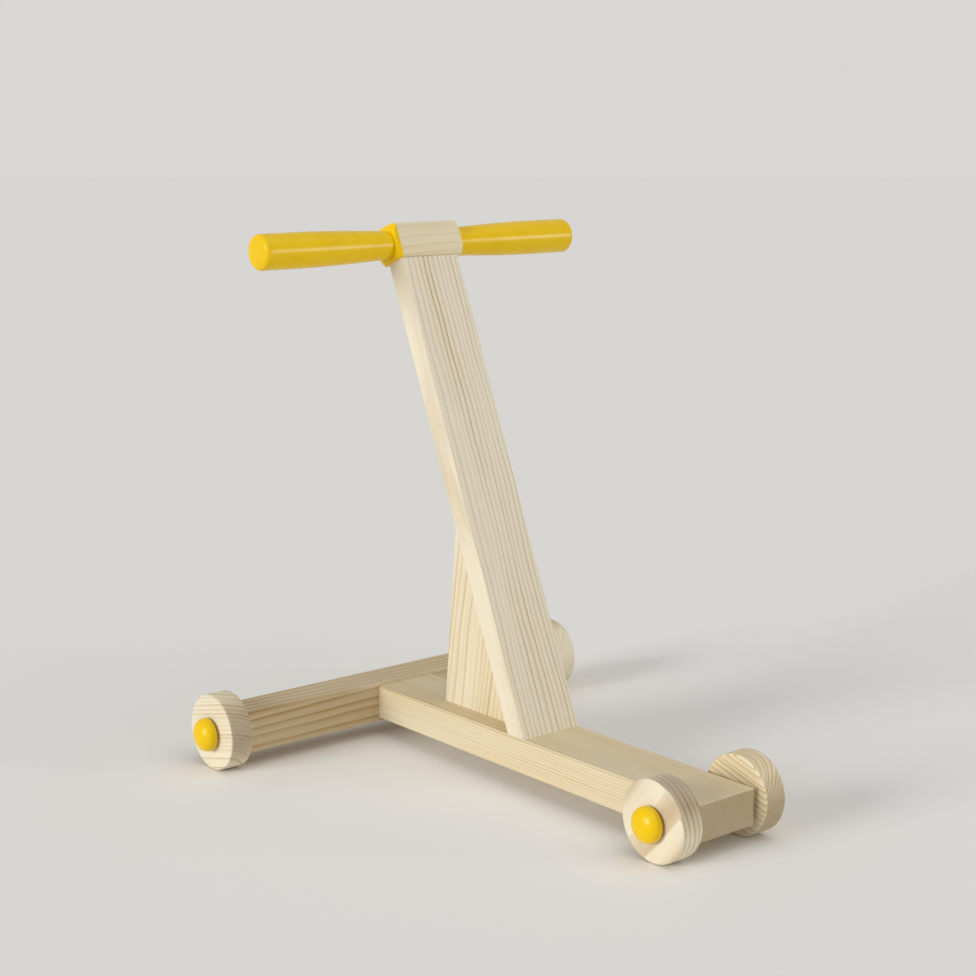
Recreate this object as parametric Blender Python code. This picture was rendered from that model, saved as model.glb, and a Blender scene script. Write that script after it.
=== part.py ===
"""Wooden push walker: a planed pine frame on four free-running wheels, with a turned handle."""

import math

import bmesh
import bpy
from mathutils import Matrix, Vector

# Wheels and where they stand
WHEEL_DIAMETER = 0.0655
WHEEL_WIDTH = 0.0215
WHEEL_ROUND = 0.002
WHEELBASE = 0.392
WASHER_DIAMETER = 0.024
WASHER_THICKNESS = 0.004

# Axle pegs
PEG_DIAMETER = 0.012
PEG_SEAT = 0.025
PEG_DROP = 0.0008
PEG_CHAMFER = 0.001
PEG_HEAD_DIAMETER = 0.0285
PEG_HEAD_RIM = 0.003
PEG_HEAD_EASE = 0.0005
PEG_HEAD_HEIGHT = 0.0115

# Beam and crossbar
BEAM_WIDTH = 0.060
BEAM_THICKNESS = 0.030
BEAM_NOSE = 0.024
BEAM_DROP = 0.0015
CROSSBAR_SIZE = 0.036
CROSSBAR_LENGTH = 0.338

# Post and brace
POST_THICKNESS = 0.020
POST_LENGTH = 0.416
POST_SETBACK = 0.1987
POST_LEAN = math.radians(22.5)
BRACE_WIDTH = 0.022
BRACE_LENGTH = 0.1055
BRACE_HEIGHT = 0.2005
BRACE_TIP = 0.003

# Handle
HANDLE_LENGTH = 0.332
HANDLE_OFFSET = 0.0025
HANDLE_SETBACK = 0.013
BLOCK_HEIGHT = 0.031
BLOCK_DEPTH = 0.029
BLOCK_HALF = 0.0285
SHOULDER = 0.007
GRIP_ROOT_DIAMETER = 0.0242
GRIP_DIAMETER = 0.030
GRIP_SWELL = 0.094
GRIP_ROUND = 0.0035

# Fasteners
DOWEL_DIAMETER = 0.008
DOWEL_DEPTH = 0.020
DOWEL_CHAMFER = 0.0008
DOWEL_SPREAD = 0.017
BRACE_DOWEL_BITE = 0.012
BRACE_DOWEL_LOW = 0.0695
BRACE_DOWEL_HIGH = 0.126
SCREW_DIAMETER = 0.0045
SCREW_HEAD_DIAMETER = 0.009
SCREW_LENGTH = 0.058
SCREW_POINT = 0.0045
SCREW_SINK = 0.0006
SCREW_SLOT = 0.0012
BRACE_SCREW_FRONT = 0.042
BRACE_SCREW_REAR = 0.084

# Fits
EDGE_ROUND = 0.0015
GAP = 0.0003
WASHER_PLAY = 0.0004
WHEEL_PLAY = 0.0025

# How finely curves are cut into flats, and how far a cutter runs past the surface it cuts
WHEEL_FACETS = 64
PEG_FACETS = 40
DOWEL_FACETS = 24
EDGE_STEPS = 2
ROUND_STEPS = 4
DOME_STEPS = 7
SHOULDER_STEPS = 6
GRIP_STEPS = 8
BLOCK_STEPS = 12
BLOCK_CORNER_POWER = 14
SHARP_ANGLE = math.radians(24)
CUTTER_LEAD = 0.004
WELD = 0.000001

# Places worked out from the sizes
AXLE_Z = WHEEL_DIAMETER / 2
PEG_Z = AXLE_Z - PEG_DROP
BEAM_MID_Z = AXLE_Z - BEAM_DROP
BEAM_TOP_Z = BEAM_MID_Z + BEAM_THICKNESS / 2
BEAM_BOTTOM_Z = BEAM_MID_Z - BEAM_THICKNESS / 2
REAR_AXLE_Y = WHEELBASE / 2
FRONT_AXLE_Y = -WHEELBASE / 2
CROSSBAR_FRONT_Y = REAR_AXLE_Y - CROSSBAR_SIZE / 2
BEAM_BACK_Y = CROSSBAR_FRONT_Y - GAP
BEAM_FRONT_Y = FRONT_AXLE_Y - BEAM_NOSE
WHEEL_INNER = 2 * GAP + WASHER_THICKNESS
PEG_REACH = WHEEL_INNER + WHEEL_WIDTH + WHEEL_PLAY
POST_FOOT = (0, CROSSBAR_FRONT_Y - POST_SETBACK, BEAM_TOP_Z + GAP)
POST_FRAME = Matrix.Translation(POST_FOOT) @ Matrix.Rotation(-POST_LEAN, 4, "X")

PINE = ((0.80, 0.62, 0.40), 0.55, 0.0)
BEECH = ((0.62, 0.42, 0.24), 0.60, 0.0)
YELLOW = ((0.83, 0.53, 0.01), 0.22, 0.0)
STEEL = ((0.62, 0.60, 0.55), 0.30, 1.0)
NYLON = ((0.75, 0.73, 0.68), 0.45, 0.0)


def clear_scene():
    """Take every object out of the scene."""
    for obj in list(bpy.data.objects):
        bpy.data.objects.remove(obj, do_unlink=True)


def paint(obj, look):
    """Give an object its own material from a colour, a roughness and a metallic value."""
    colour, roughness, metallic = look
    material = bpy.data.materials.new(obj.name)
    material.use_nodes = True
    shader = material.node_tree.nodes["Principled BSDF"]
    shader.inputs["Base Color"].default_value = (*colour, 1.0)
    shader.inputs["Roughness"].default_value = roughness
    shader.inputs["Metallic"].default_value = metallic
    obj.data.materials.append(material)


def add_object(name, bm, matrix, look=None):
    """Turn a bmesh into a placed object, painted if it has a look."""
    bmesh.ops.recalc_face_normals(bm, faces=bm.faces)
    mesh = bpy.data.meshes.new(name)
    bm.to_mesh(mesh)
    bm.free()
    obj = bpy.data.objects.new(name, mesh)
    obj.matrix_world = matrix
    bpy.context.scene.collection.objects.link(obj)
    if look:
        paint(obj, look)
    return obj


def round_edges(obj):
    """Ease the edges of a planed piece."""
    bevel = obj.modifiers.new("eased edges", "BEVEL")
    bevel.width = EDGE_ROUND
    bevel.segments = EDGE_STEPS
    bevel.limit_method = "ANGLE"
    bevel.angle_limit = SHARP_ANGLE


def smooth(obj):
    """Shade a turned piece smooth between its edges."""
    obj.data.shade_smooth()
    obj.data.set_sharp_from_angle(angle=SHARP_ANGLE)


def planed(name, outline, width, matrix, look):
    """Planed piece with a side outline of (y, z) corners and a width along X."""
    bm = bmesh.new()
    side = bm.faces.new([bm.verts.new((-width / 2, y, z)) for y, z in outline])
    grown = bmesh.ops.extrude_face_region(bm, geom=[side])
    moved = [item for item in grown["geom"] if isinstance(item, bmesh.types.BMVert)]
    bmesh.ops.translate(bm, verts=moved, vec=(width, 0, 0))
    obj = add_object(name, bm, matrix, look)
    round_edges(obj)
    return obj


def bar_outline(depth, height):
    """Side outline of a square-cut bar about its own centre."""
    y = depth / 2
    z = height / 2
    return [(-y, -z), (y, -z), (y, z), (-y, z)]


def turned(name, outline, segments, matrix, look=None, ring=False):
    """Turn an outline of (x, radius) points about X; a ring outline closes on itself."""
    bm = bmesh.new()
    verts = [bm.verts.new((x, 0, radius)) for x, radius in outline]
    pairs = list(zip(verts, verts[1:]))
    if ring:
        pairs.append((verts[-1], verts[0]))
    edges = [bm.edges.new(pair) for pair in pairs]
    bmesh.ops.spin(
        bm,
        geom=verts + edges,
        cent=(0, 0, 0),
        axis=(1, 0, 0),
        angle=math.tau,
        steps=segments,
        use_merge=True,
    )
    bmesh.ops.remove_doubles(bm, verts=bm.verts, dist=WELD)
    obj = add_object(name, bm, matrix, look)
    smooth(obj)
    return obj


def arc(cx, cr, rx, rr, start, end, steps):
    """Points of an elliptical arc in (x, radius), angles in degrees from +x toward +radius."""
    angles = [math.radians(start + (end - start) * step / steps) for step in range(steps + 1)]
    return [(cx + rx * math.cos(a), cr + rr * math.sin(a)) for a in angles]


def along(start, direction):
    """Matrix that puts the local X axis along a direction, starting at a point."""
    return Matrix.Translation(start) @ Vector(direction).to_track_quat("X", "Z").to_matrix().to_4x4()


def cut(obj, cutter):
    """Take a cutter's shape out of a piece."""
    cutter.hide_render = True
    cutter.display_type = "WIRE"
    taken = obj.modifiers.new(cutter.name, "BOOLEAN")
    taken.operation = "DIFFERENCE"
    taken.solver = "EXACT"
    taken.object = cutter


def bore(obj, outline, matrix):
    """Cut a turned hole out of a piece."""
    cut(obj, turned(f"{obj.name}_cut{len(obj.modifiers)}", outline, DOWEL_FACETS, matrix))


def drill(obj, start, direction, radius, depth):
    """Drill a flat-bottomed hole into a piece from a point on its surface."""
    outline = [(-CUTTER_LEAD, 0), (-CUTTER_LEAD, radius), (depth, radius), (depth, 0)]
    bore(obj, outline, along(start, direction))


def dowel(name, centre, direction, first, second, bite=DOWEL_DEPTH):
    """Glued dowel across a joint, with a hole in each of its two pieces and its own bite into the first."""
    radius = DOWEL_DIAMETER / 2
    outline = [
        (-bite, 0),
        (-bite, radius - DOWEL_CHAMFER),
        (-bite + DOWEL_CHAMFER, radius),
        (DOWEL_DEPTH - DOWEL_CHAMFER, radius),
        (DOWEL_DEPTH, radius - DOWEL_CHAMFER),
        (DOWEL_DEPTH, 0),
    ]
    turned(name, outline, DOWEL_FACETS, along(centre, direction), BEECH)
    drill(first, centre, -direction, radius + GAP, bite + GAP)
    drill(second, centre, direction, radius + GAP, DOWEL_DEPTH + GAP)


def brace_screw(name, y, beam, brace):
    """Countersunk wood screw driven up through the beam into the brace."""
    shank = SCREW_DIAMETER / 2
    head = SCREW_HEAD_DIAMETER / 2
    cone = head - shank
    place = along((0, y, BEAM_BOTTOM_Z + SCREW_SINK), (0, 0, 1))
    outline = [
        (0, 0),
        (0, head),
        (SCREW_SINK, head),
        (SCREW_SINK + cone, shank),
        (SCREW_LENGTH - SCREW_POINT, shank),
        (SCREW_LENGTH, 0),
    ]
    screw = turned(name, outline, DOWEL_FACETS, place, STEEL)
    slot = bmesh.new()
    bmesh.ops.create_cube(slot, size=1)
    slot_size = (2 * SCREW_SLOT, SCREW_HEAD_DIAMETER + CUTTER_LEAD, SCREW_SLOT)
    bmesh.ops.scale(slot, vec=slot_size, verts=slot.verts)
    cut(screw, add_object(f"{name}_slot", slot, place))
    sink = [
        (-CUTTER_LEAD, 0),
        (-CUTTER_LEAD, head + GAP),
        (SCREW_SINK + GAP, head + GAP),
        (SCREW_SINK + cone + 2 * GAP, shank + GAP),
        (SCREW_LENGTH + 2 * GAP, shank + GAP),
        (SCREW_LENGTH + 2 * GAP, 0),
    ]
    bore(beam, sink, place)
    bore(brace, sink, place)


def handle_section(x, angle):
    """Radius of the handle about its own axis: square block cut by a turned shoulder."""
    depth = BLOCK_DEPTH / 2
    height = BLOCK_HEIGHT / 2
    power = BLOCK_CORNER_POWER
    square = (abs(math.cos(angle) / depth) ** power + abs(math.sin(angle) / height) ** power) ** (-1 / power)
    root = GRIP_ROOT_DIAMETER / 2
    outer = math.hypot(depth, height)
    run = min(max((x - BLOCK_HALF) / SHOULDER, 0), 1)
    return min(square, root + (outer - root) * math.sqrt(1 - run * run))


def grip_radius(x):
    """Radius of the grip at a distance from the middle of the handle, waisted next to the block."""
    root = GRIP_ROOT_DIAMETER / 2
    full = GRIP_DIAMETER / 2
    start = BLOCK_HALF + SHOULDER
    run = min((x - start) / GRIP_SWELL, 1)
    return root + (full - root) * math.sin(run * math.pi / 2)


def handle_rings(corners):
    """Distances from the middle of the handle and the radii there, one list of radii per ring."""
    half = HANDLE_LENGTH / 2
    rings = []
    for step in range(SHOULDER_STEPS + 1):
        x = BLOCK_HALF + SHOULDER * math.sin(step / SHOULDER_STEPS * math.pi / 2)
        rings.append((x, [handle_section(x, a) for a in corners]))
    start = BLOCK_HALF + SHOULDER
    end = half - GRIP_ROUND
    for step in range(1, GRIP_STEPS + 1):
        x = start + (end - start) * step / GRIP_STEPS
        rings.append((x, [grip_radius(x)] * len(corners)))
    inner = grip_radius(end) - GRIP_ROUND
    for x, radius in arc(end, inner, GRIP_ROUND, GRIP_ROUND, 90, 0, ROUND_STEPS)[1:]:
        rings.append((x, [radius] * len(corners)))
    return rings


def handle_bar(matrix):
    """Handle turned from one square length: a block in the middle and a grip at each end."""
    tilt = math.atan2(BLOCK_HEIGHT, BLOCK_DEPTH)
    marks = [tilt, math.pi - tilt, math.pi + tilt, math.tau - tilt, math.tau + tilt]
    corners = []
    for first, last in zip(marks, marks[1:]):
        corners += [first + (last - first) * step / BLOCK_STEPS for step in range(BLOCK_STEPS)]
    half = handle_rings(corners)
    stations = [(-x, radii) for x, radii in reversed(half)] + half
    bm = bmesh.new()
    loops = []
    for x, radii in stations:
        loops.append([bm.verts.new((x, r * math.cos(a), r * math.sin(a))) for a, r in zip(corners, radii)])
    for loop, following in zip(loops, loops[1:]):
        for index in range(len(corners)):
            other = (index + 1) % len(corners)
            bm.faces.new((loop[index], loop[other], following[other], following[index]))
    bm.faces.new(loops[0])
    bm.faces.new(loops[-1])
    obj = add_object("handle_bar", bm, matrix, YELLOW)
    smooth(obj)
    return obj


def wheel_set(place, side, timber, face, axle_y):
    """Wheel, washer and axle peg at one end of an axle line; the peg rests low in the wheel's loose bore."""
    name = f"{place}_{'left' if side < 0 else 'right'}"
    turn = Matrix.Rotation(math.pi if side < 0 else 0, 4, "Z")
    seat = Matrix.Translation((side * face, axle_y, PEG_Z)) @ turn
    hub = Matrix.Translation((side * (face + WHEEL_INNER + WHEEL_WIDTH / 2), axle_y, AXLE_Z)) @ turn
    shank = PEG_DIAMETER / 2
    loose = shank + PEG_DROP + GAP
    rim = WHEEL_DIAMETER / 2
    flat = WHEEL_WIDTH / 2 - WHEEL_ROUND
    rolled = arc(flat, rim - WHEEL_ROUND, WHEEL_ROUND, WHEEL_ROUND, 0, 90, ROUND_STEPS)
    rolled += arc(-flat, rim - WHEEL_ROUND, WHEEL_ROUND, WHEEL_ROUND, 90, 180, ROUND_STEPS)
    outline = [(WHEEL_WIDTH / 2, loose)] + rolled + [(-WHEEL_WIDTH / 2, loose)]
    turned(f"wheel_{name}", outline, WHEEL_FACETS, hub, PINE, ring=True)
    thick = WASHER_THICKNESS
    hole = shank + WASHER_PLAY
    outline = [(0, hole), (thick, hole), (thick, WASHER_DIAMETER / 2), (0, WASHER_DIAMETER / 2)]
    turned(f"washer_{name}", outline, PEG_FACETS, seat @ Matrix.Translation((GAP, 0, 0)), NYLON, ring=True)
    head = PEG_HEAD_DIAMETER / 2
    crown = PEG_REACH + PEG_HEAD_RIM
    outline = [(-PEG_SEAT, 0), (-PEG_SEAT, shank - PEG_CHAMFER), (-PEG_SEAT + PEG_CHAMFER, shank)]
    outline += [(PEG_REACH, shank), (PEG_REACH, head - PEG_HEAD_EASE), (PEG_REACH + PEG_HEAD_EASE, head)]
    outline += arc(crown, 0, PEG_HEAD_HEIGHT - PEG_HEAD_RIM, head, 90, 0, DOME_STEPS)
    turned(f"peg_{name}", outline, PEG_FACETS, seat, YELLOW)
    drill(timber, seat.translation, Vector((-side, 0, 0)), shank + GAP, PEG_SEAT + GAP)


def build():
    """Build the walker, standing on the floor with its front toward -Y."""
    clear_scene()
    crossbar = planed(
        "rear_crossbar",
        bar_outline(CROSSBAR_SIZE, CROSSBAR_SIZE),
        CROSSBAR_LENGTH,
        Matrix.Translation((0, REAR_AXLE_Y, BEAM_MID_Z)),
        PINE,
    )
    beam_length = BEAM_BACK_Y - BEAM_FRONT_Y
    beam = planed(
        "center_beam",
        bar_outline(beam_length, BEAM_THICKNESS),
        BEAM_WIDTH,
        Matrix.Translation((0, BEAM_FRONT_Y + beam_length / 2, BEAM_MID_Z)),
        PINE,
    )
    mitre = POST_THICKNESS * math.tan(POST_LEAN)
    outline = [(0, 0), (POST_THICKNESS, mitre), (POST_THICKNESS, POST_LENGTH), (0, POST_LENGTH)]
    post = planed("handle_post", outline, BEAM_WIDTH, POST_FRAME, PINE)
    foot_y = POST_FRAME.translation.y + (POST_THICKNESS + GAP) / math.cos(POST_LEAN)
    tip_y = BRACE_HEIGHT * math.tan(POST_LEAN)
    outline = [(0, 0), (BRACE_LENGTH, 0), (tip_y + BRACE_TIP, BRACE_HEIGHT), (tip_y, BRACE_HEIGHT)]
    foot = Matrix.Translation((0, foot_y, BEAM_TOP_Z + GAP))
    brace = planed("post_brace", outline, BRACE_WIDTH, foot, PINE)
    block_mid = POST_LENGTH + GAP + BLOCK_HEIGHT / 2
    handle = handle_bar(POST_FRAME @ Matrix.Translation((HANDLE_OFFSET, HANDLE_SETBACK, block_mid)))

    for side in (-1, 1):
        wheel_set("rear", side, crossbar, CROSSBAR_LENGTH / 2, REAR_AXLE_Y)
        wheel_set("front", side, beam, BEAM_WIDTH / 2, FRONT_AXLE_Y)

    up = POST_FRAME.to_3x3() @ Vector((0, 0, 1))
    back = POST_FRAME.to_3x3() @ Vector((0, 1, 0))
    for side, word in ((-1, "left"), (1, "right")):
        x = side * DOWEL_SPREAD
        beam_end = Vector((x, CROSSBAR_FRONT_Y, BEAM_MID_Z))
        dowel(f"beam_dowel_{word}", beam_end, Vector((0, 1, 0)), beam, crossbar)
        foot_mid = POST_FRAME @ Vector((x, POST_THICKNESS / 2, mitre / 2))
        dowel(f"post_dowel_{word}", foot_mid, up, beam, post)
        top_mid = POST_FRAME @ Vector((x, POST_THICKNESS / 2, POST_LENGTH))
        dowel(f"handle_dowel_{word}", top_mid, up, post, handle)
    for height, word in ((BRACE_DOWEL_LOW, "lower"), (BRACE_DOWEL_HIGH, "upper")):
        spot = POST_FRAME @ Vector((0, POST_THICKNESS + GAP, height))
        dowel(f"brace_dowel_{word}", spot, back, post, brace, BRACE_DOWEL_BITE)
    for distance, word in ((BRACE_SCREW_FRONT, "front"), (BRACE_SCREW_REAR, "rear")):
        brace_screw(f"brace_screw_{word}", foot_y + distance, beam, brace)


build()
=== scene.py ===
"""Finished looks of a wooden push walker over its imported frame: pine with yellow enamel."""

import math
from typing import NamedTuple

import bmesh
import bpy
from mathutils import Matrix, Vector


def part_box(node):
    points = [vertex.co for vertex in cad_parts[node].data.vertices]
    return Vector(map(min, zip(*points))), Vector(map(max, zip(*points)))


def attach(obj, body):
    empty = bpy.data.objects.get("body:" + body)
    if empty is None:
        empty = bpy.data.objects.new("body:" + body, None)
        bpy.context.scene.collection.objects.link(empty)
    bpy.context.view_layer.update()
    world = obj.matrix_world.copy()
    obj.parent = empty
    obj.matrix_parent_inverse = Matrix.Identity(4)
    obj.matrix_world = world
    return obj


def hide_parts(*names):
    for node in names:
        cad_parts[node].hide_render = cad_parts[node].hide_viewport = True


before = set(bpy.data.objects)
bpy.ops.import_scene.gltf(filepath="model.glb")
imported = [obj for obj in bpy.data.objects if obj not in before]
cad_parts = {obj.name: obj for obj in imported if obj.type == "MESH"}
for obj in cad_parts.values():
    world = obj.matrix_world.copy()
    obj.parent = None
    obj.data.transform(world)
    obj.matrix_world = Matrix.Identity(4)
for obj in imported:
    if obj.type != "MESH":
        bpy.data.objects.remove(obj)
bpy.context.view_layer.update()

bl_info = {
    "name": "Wooden push walker",
    "version": (1, 0, 0),
    "blender": (4, 5, 0),
    "location": "3D View > Sidebar > Walker",
    "description": "Builds the finished pieces of a wooden push walker over its packed frame",
    "category": "Object",
}

MM = 0.001
HAIR = 0.001 * MM  # points closer than this are the same
CORNERS = ("rear_left", "rear_right", "front_left", "front_right")


def linear(code):
    """Linear red, green and blue of an sRGB hex colour."""
    parts = [int(code[place : place + 2], 16) / 255 for place in (1, 3, 5)]
    return tuple(part / 12.92 if part <= 0.04045 else ((part + 0.055) / 1.055) ** 2.4 for part in parts)


def size(label, about, default):
    """Length that a user may change, in metres."""
    return bpy.props.FloatProperty(
        name=label, description=about, default=default, min=0.0, unit="LENGTH", precision=4
    )


def tint(label, about, code):
    """Colour that a user may change, given as sRGB hex."""
    return bpy.props.FloatVectorProperty(
        name=label, description=about, default=linear(code), min=0.0, max=1.0, size=3, subtype="COLOR"
    )


class WalkerSizes(bpy.types.PropertyGroup):
    """Sizes of the finished pieces that the frame's boxes don't give."""

    edge_round: size("Eased edge", "Rounding on the free edges of the planed timber", 0.0011)
    glue_gap: size("Glue gap", "Room in the frame's glued joints, closed in the finished pieces", 0.0003)
    lean: bpy.props.FloatProperty(
        name="Post lean",
        description="How far the post leans back from upright",
        default=math.radians(22.5),
        subtype="ANGLE",
    )
    post_foot: size("Post foot", "How far the foot of the post stands before the frame's middle", 0.0207)
    post_thickness: size("Post thickness", "Thickness of the post", 0.020)
    post_length: size("Post length", "Length of the post's front face", 0.416)
    brace_tip: size("Brace tip", "Width of the flat at the top of the brace", 0.003)
    handle_offset: size("Handle offset", "How far the handle sits right of the post's middle", 0.0025)
    handle_setback: size("Handle setback", "From the post's front face back to the handle's axis", 0.013)
    block_height: size("Block height", "Height of the handle's square block", 0.031)
    block_depth: size("Block depth", "Depth of the handle's square block", 0.029)
    block_half: size("Block half length", "From the handle's middle to the start of its shoulder", 0.0285)
    shoulder: size("Shoulder", "Length of the turned shoulder between block and grip", 0.007)
    grip_root: size("Grip root", "Diameter of the grip next to the block", 0.0242)
    grip_full: size("Grip diameter", "Diameter of the grip toward its end", 0.030)
    grip_swell: size("Grip swell", "Length over which the grip swells to its full diameter", 0.094)
    grip_round: size("Grip end", "Rounding on the ends of the grips", 0.0035)
    bare_left: size("Bare wood, left", "From the frame's middle to the paint line left of it", 0.0285)
    bare_right: size("Bare wood, right", "From the frame's middle to the paint line right of it", 0.0375)
    wheel_round: size("Wheel edge", "Rounding on the rims of the wheels", 0.002)
    wheel_bore: size("Wheel bore", "Diameter of the loose bore in the wheels", 0.0142)
    washer_bore: size("Washer bore", "Diameter of the hole in the washers", 0.0128)
    peg_shank: size("Peg shank", "Diameter of the axle pegs", 0.012)
    peg_head: size("Peg head", "Height of the peg's domed head", 0.0115)
    peg_rim: size("Peg rim", "Straight rim under the dome of the peg's head", 0.003)
    screw_shank: size("Screw shank", "Diameter of the brace screws", 0.0045)
    screw_slot: size("Screw slot", "Width and depth of the slot in the screw heads", 0.0012)
    screw_pitch: size("Screw pitch", "Rise of the screw thread in one turn", 0.0022)


class WalkerFinishes(bpy.types.PropertyGroup):
    """Colours of the walker's finishes."""

    early_wood: tint("Early wood", "Pale wood that pine lays down in spring", "#ECE3CD")
    warm_wood: tint("Warm early wood", "Early wood where it turns creamier", "#E8D8B2")
    late_wood: tint("Late wood", "Dense lines that pine lays down in summer", "#AD8A50")
    resin: tint("Resin flecks", "Short dark dashes of the resin canals", "#A07A4C")
    # End grain's own tint, deepened with painted shade on the cut ends.
    end_wood_and_shade: tint("End grain", "Tint of cut fibre ends, which take in more light", "#CCC4BA")
    enamel: tint("Yellow enamel", "Paint on the grips and the axle pegs", "#F0C703")
    enamel_thin: tint("Thin enamel", "Same paint where the coat lies thinner", "#E9BE00")
    beech: tint("Beech", "Dowels inside the joints", "#C49A68")
    zinc: tint("Zinc plate", "Plating on the brace screws", "#C6C4BC")
    nylon: tint("Nylon", "Natural nylon of the wheel washers", "#E4DFD2")
    floor: tint("Floor", "Pale floor of the stage", "#F8F6F2")


def add(tree, kind, inputs=None, stops=None, **settings):
    """Add a node with its settings; an input takes a value, a socket or a node, for its first output."""
    node = tree.nodes.new(kind)
    for name, value in settings.items():
        setattr(node, name, value)
    if stops:
        marks = node.color_ramp.elements
        for mark, (place, shade) in zip((marks[0], marks[-1]), (stops[0], stops[-1])):
            mark.position = place
            mark.color = (shade, shade, shade, 1.0)
        for place, shade in stops[1:-1]:
            marks.new(place).color = (shade, shade, shade, 1.0)
    for key, value in (inputs or {}).items():
        if isinstance(value, bpy.types.Node):
            value = value.outputs[0]
        if isinstance(value, bpy.types.NodeSocket):
            tree.links.new(value, node.inputs[key])
        else:
            node.inputs[key].default_value = value
    return node


def new_material(name):
    """Material with an empty tree, as the material and its tree."""
    material = bpy.data.materials.new(name)
    material.use_nodes = True
    material.node_tree.nodes.clear()
    return material, material.node_tree


def close_material(tree, inputs):
    """Shader with its inputs, joined to the output of its material."""
    shader = add(tree, "ShaderNodeBsdfPrincipled", inputs)
    add(tree, "ShaderNodeOutputMaterial", {"Surface": shader})


def opaque(colour):
    """Colour of a property with full alpha."""
    return (*colour, 1.0)


class Log(NamedTuple):
    """Log that a piece was sawn from, and what its wood is like."""

    pith: tuple  # point on the axis that the rings go round
    grain: tuple  # direction of that axis
    seed: float  # sets its wander and its years apart from those of the other logs
    ring: float  # width of a year's ring, in mm
    sway: float  # how far the trunk wanders, in mm
    late: float  # shape of a ring: the lower, the more of it is late wood
    lines: tuple  # strength of the faintest and of the strongest line of late wood
    warm: tuple  # least and greatest share of the creamier early wood
    shade: float = 0.0  # share of the late wood's colour all over: a painted shade that darkens the whole piece

    def placed(self, matrix):
        """Same log, moved and turned by a matrix."""
        return self._replace(pith=matrix @ Vector(self.pith), grain=matrix.to_3x3() @ Vector(self.grain))


# Pith and grain come first. A pith is placed from the frame's origin, but for the post from its foot, for
# the handle from its middle, and for a wheel from its hub.
LOGS = {
    # The crossbar's shade is painted shade: the whole bar is darkened as if it stood in shadow.
    "crossbar": Log(
        (0, 0.300, -0.070), (1, 0, 0.02), seed=8.2,
        ring=5.5, sway=5, late=0.75, lines=(0.75, 1.2), warm=(0.4, 1), shade=0.4,
    ),
    # The beam's shade is partly a darker board and partly painted shade.
    "beam": Log(
        (-0.060, 0, 0.0817), (0.006, 1, 0.004), seed=11.4,
        ring=2.3, sway=4, late=1, lines=(0.3, 0.7), warm=(0.4, 1), shade=0.1,
    ),
    "post": Log(
        (-0.2221, 0.010, 0.2), (0, 0, 1), seed=26.3,
        ring=4.9, sway=14, late=0.9, lines=(0.3, 1.2), warm=(0, 0.3),
    ),
    "brace": Log(
        (0.05, 0.16, 0.0985), (0, -0.16, 1), seed=34.2,
        ring=5, sway=10, late=0.8, lines=(0.15, 0.65), warm=(0.3, 0.9),
    ),
    "handle": Log(
        (0, 0.020, -0.050), (1, -0.0115, 0.0277), seed=8,
        ring=7, sway=8, late=0.8, lines=(0.05, 0.3), warm=(0.5, 1),
    ),
    "wheel_rear_left": Log(
        (-0.035, -0.020, -0.080), (0, 1, -0.25), seed=8.6,
        ring=3.4, sway=4, late=0.7, lines=(0, 0.8), warm=(0, 0.5),
    ),
    "wheel_rear_right": Log(
        (-0.050, 0, 0.060), (0.6, 0.2, 0.75), seed=5.9,
        ring=3.4, sway=4, late=1, lines=(0.35, 0.65), warm=(0.2, 0.8),
    ),
    "wheel_front_left": Log(
        (0.11255, 0, 0), (0, -0.62, 0.78), seed=9.2,
        ring=4.6, sway=3, late=0.75, lines=(0.65, 0.85), warm=(0, 0.5),
    ),
    "wheel_front_right": Log(
        (0.0944, 0.0206, -0.071), (0, 1, 0.29), seed=14.6,
        ring=2.8, sway=3, late=0.85, lines=(0.45, 0.75), warm=(0.4, 1),
    ),
}


# Patterns of the pine, in cycles per mm: both ways across the grain, and along it
WANDER = (1 / 40, 1 / 40, 1 / 150)
PATCH = (1 / 26, 1 / 26, 1 / 190)
FIBRE = (1.1, 1.1, 0.016)
CANAL = (1.9, 1.9, 0.05)
SEASONS = 0.42  # how soon good years follow poor ones, per ring
UNEVEN = 0.8  # how far good and poor years shift a ring, in rings
FIBRE_TINT = 0.14  # most that a fibre takes of the late wood's colour
USUAL = {"From Min": 0.36, "From Max": 0.64}  # range that a broad noise mostly keeps to
# Share of a year's ring, and how much of the late wood's colour it has there
RIPENING = ((0.0, 0.0), (0.4, 0.04), (0.66, 0.3), (0.84, 0.86), (0.91, 1.0), (0.965, 0.9), (1.0, 0.0))


def streaks(tree, local, pattern, inputs, dimensions="3D"):
    """Noise that is drawn out along the grain."""
    stretched = add(tree, "ShaderNodeVectorMath", {0: local, 1: pattern}, operation="MULTIPLY")
    inputs = {"Vector": stretched, "Scale": 1.0, **inputs}
    return add(tree, "ShaderNodeTexNoise", inputs, noise_dimensions=dimensions)


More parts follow.
